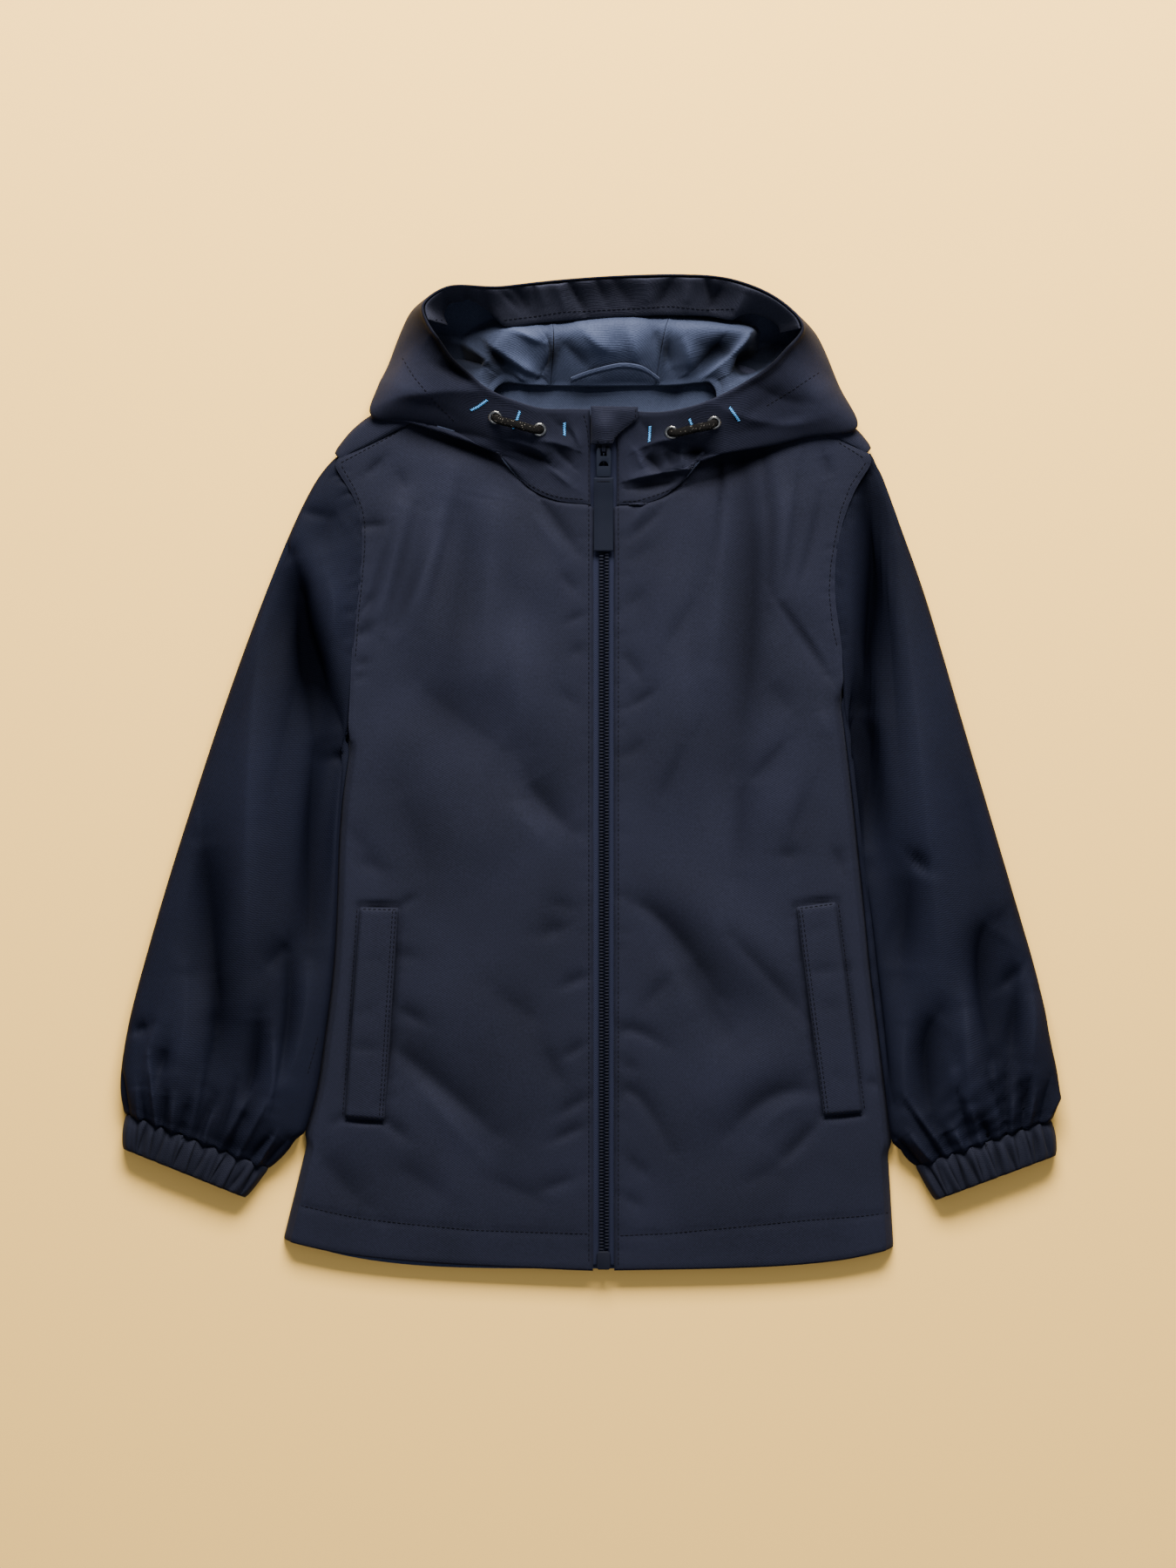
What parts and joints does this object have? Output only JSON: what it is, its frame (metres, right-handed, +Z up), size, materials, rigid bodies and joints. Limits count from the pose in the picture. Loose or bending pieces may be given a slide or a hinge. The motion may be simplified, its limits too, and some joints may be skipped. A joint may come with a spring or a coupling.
{
  "type": "kids raincoat",
  "caption": "Navy hooded kids raincoat with a front zip, laid flat on its back with the arms spread down and the hood open upwards.",
  "frame": {"origin": "on the surface that the coat lies on, below the middle of its bounding box", "axes": "+Z up out of the coat's front, +Y from the hem towards the hood, +X towards the coat's own left sleeve"},
  "size_m": [0.5704, 0.6052, 0.0405],
  "materials": {
    "shell_cloth": "matt with a low sheen",
    "hood_inside_cloth": "matt, slate",
    "cuff_cloth": "matt",
    "zip_tape": "matt, woven",
    "zip_plastic": "satin",
    "pull_plastic": "satin",
    "eyelet_metal": "polished",
    "elastic_cord": "matt, flecked"
  },
  "bodies": {
    "garment": {"front_left": "shell_cloth", "front_right": "shell_cloth", "back_panel": "shell_cloth", "back_shoulder_left": "shell_cloth", "back_shoulder_right": "shell_cloth", "sleeve_left": "shell_cloth", "sleeve_right": "shell_cloth", "cuff_left": "cuff_cloth", "cuff_right": "cuff_cloth", "hood_side_left": "shell_cloth", "hood_centre": "shell_cloth", "hood_side_right": "shell_cloth", "hood_facing": "shell_cloth", "pocket_welt_left": "shell_cloth", "pocket_welt_right": "shell_cloth", "zip_tape_left": "zip_tape", "zip_tape_right": "zip_tape", "zip_chain": "zip_plastic", "zip_end_box": "zip_plastic", "zip_slider": "zip_plastic", "chin_guard": "shell_cloth", "hanger_loop": "hood_inside_cloth", "eyelet_left_1": "eyelet_metal", "eyelet_left_2": "eyelet_metal", "elastic_left": "elastic_cord", "eyelet_right_1": "eyelet_metal", "eyelet_right_2": "eyelet_metal", "elastic_right": "elastic_cord"},
    "zip_pull": {"zip_pull_tab": "pull_plastic", "zip_puller_tape": "zip_tape"}
  },
  "joints": [
    {"name": "pull_swing", "type": "hinge", "parent": "garment", "child": "zip_pull", "pos_m": [0.0084, 0.1977, 0.01708], "axis": [-1, 0, 0], "range_deg": [0, 90]}
  ]
}
